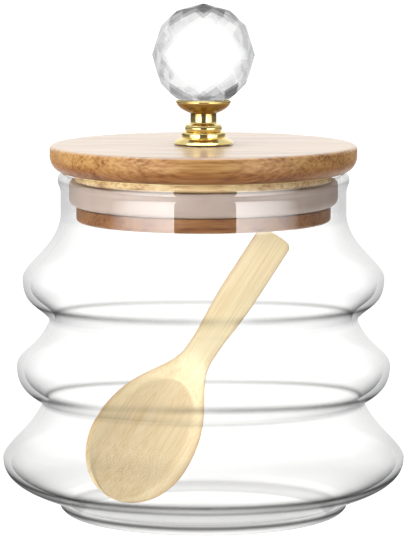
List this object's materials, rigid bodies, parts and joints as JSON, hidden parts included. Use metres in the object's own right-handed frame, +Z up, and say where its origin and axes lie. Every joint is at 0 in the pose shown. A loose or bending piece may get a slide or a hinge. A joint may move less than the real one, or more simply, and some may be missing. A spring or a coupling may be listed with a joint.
{
  "type": "glass storage jar with spoon",
  "caption": "Clear glass storage jar in bell-shaped tiers, with a turned wooden lid, a soft seal, a brass and cut crystal knob, and a small wooden spoon leaning inside.",
  "frame": {"origin": "centre of the flat base, on the surface the jar stands on", "axes": "+Z up along the jar's axis, -Y towards the side that the hollow of the spoon faces, +X to the right seen from there"},
  "size_m": [0.1308, 0.1308, 0.1667],
  "materials": {
    "jar_glass": "clear, smooth",
    "lid_wood": "lacquered bamboo",
    "seal_silicone": "milky silicone, satin",
    "mount_brass": "polished",
    "crystal": "clear, cut and polished",
    "spoon_wood": "plain sanded bamboo"
  },
  "bodies": {
    "root": {"glass_jar": "jar_glass", "lid": "lid_wood", "seal": "seal_silicone", "knob_mount": "mount_brass", "knob_crystal": "crystal", "spoon": "spoon_wood"}
  },
  "joints": []
}
